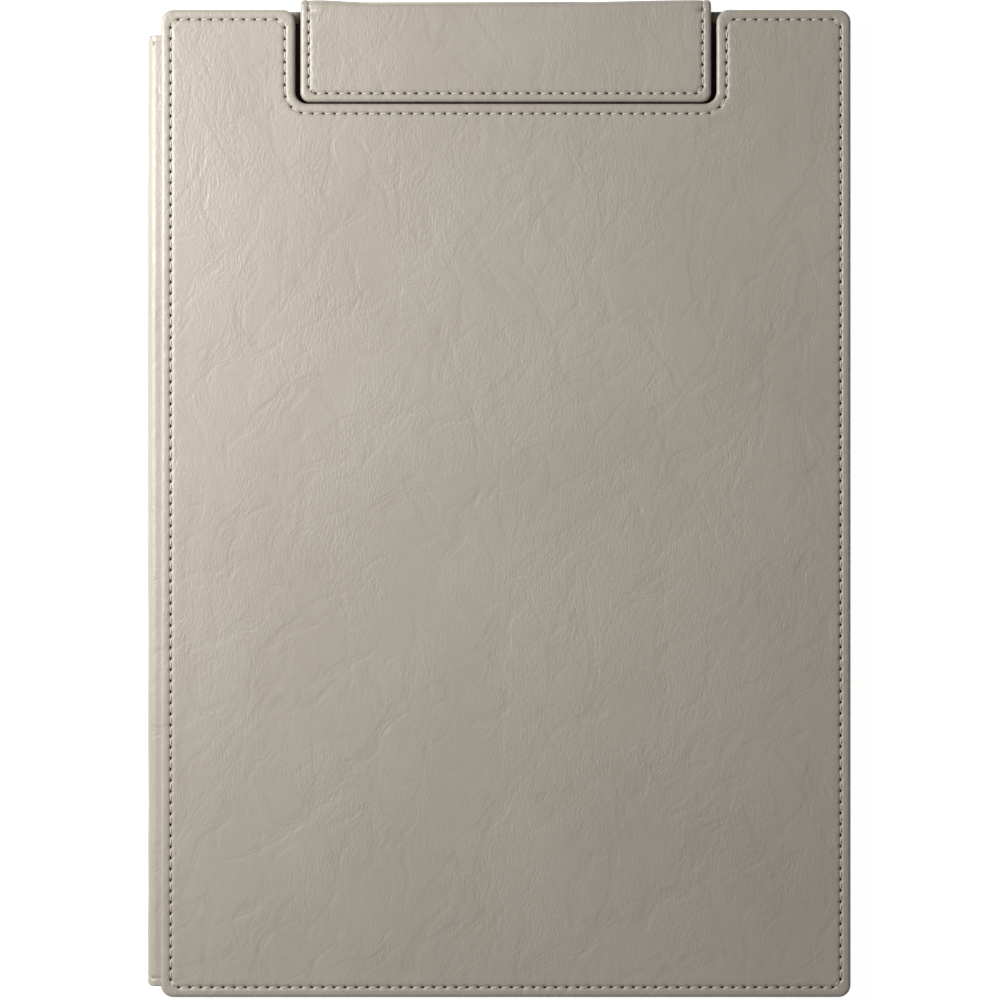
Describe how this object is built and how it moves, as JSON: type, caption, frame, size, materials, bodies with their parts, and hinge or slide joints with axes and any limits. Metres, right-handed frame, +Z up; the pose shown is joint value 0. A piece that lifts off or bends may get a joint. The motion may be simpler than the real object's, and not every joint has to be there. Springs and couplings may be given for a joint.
{
  "type": "clipboard folder",
  "caption": "A4 clipboard folder: two stitched leather-look panels on a soft spine, with a magnetic flap clip that folds over the top edge into a notch in the cover.",
  "frame": {"origin": "middle of the back panel's outer face, which the folder lies on", "axes": "+Z up out of the lying folder, +Y along it to the clip end, +X across it from the spine to the free side"},
  "size_m": [0.2245, 0.3171, 0.009],
  "materials": {
    "leather": "smooth satin leather-look, fine creases",
    "lining": "fine grained matt black lining",
    "board": "grey board",
    "core": "thin stiffener strip",
    "steel": "plain sheet",
    "magnet": "nickel plated",
    "thread": "twisted thread, a little lighter than the leather",
    "dark_thread": "twisted black thread"
  },
  "bodies": {
    "back_panel": {"back_skin": "leather", "back_board": "board", "back_lining": "lining", "keeper_plate": "steel", "back_seam_thread": "thread"},
    "spine": {"spine_strip": "leather", "spine_lining": "lining", "spine_core": "core", "spine_end_threads": "thread"},
    "front_cover": {"cover_skin": "leather", "cover_board": "board", "cover_lining": "lining", "cover_pocket": "lining", "cover_seam_thread": "thread", "pocket_seam_thread": "dark_thread"},
    "clip_flap": {"clip_skin": "leather", "clip_lining": "lining", "clip_stiffener": "board", "magnet_carrier": "board", "clip_magnets": "magnet", "clip_seam_thread": "thread"}
  },
  "joints": [
    {"name": "spine_fold_at_back", "type": "hinge", "parent": "back_panel", "child": "spine", "pos_m": [-0.11375, 0, 0.00215], "axis": [0, -1, 0], "range_deg": [0, 180], "deforming": ["spine_strip", "spine_lining"]},
    {"name": "spine_fold_at_cover", "type": "hinge", "parent": "spine", "child": "front_cover", "pos_m": [-0.11375, 0, 0.00685], "axis": [0, -1, 0], "range_deg": [0, 180], "deforming": ["spine_strip", "spine_lining"]},
    {"name": "clip_fold", "type": "hinge", "parent": "back_panel", "child": "clip_flap", "pos_m": [0, 0.1605, 0.005], "axis": [-1, 0, 0], "range_deg": [0, 180], "deforming": ["clip_skin", "clip_lining"]}
  ]
}
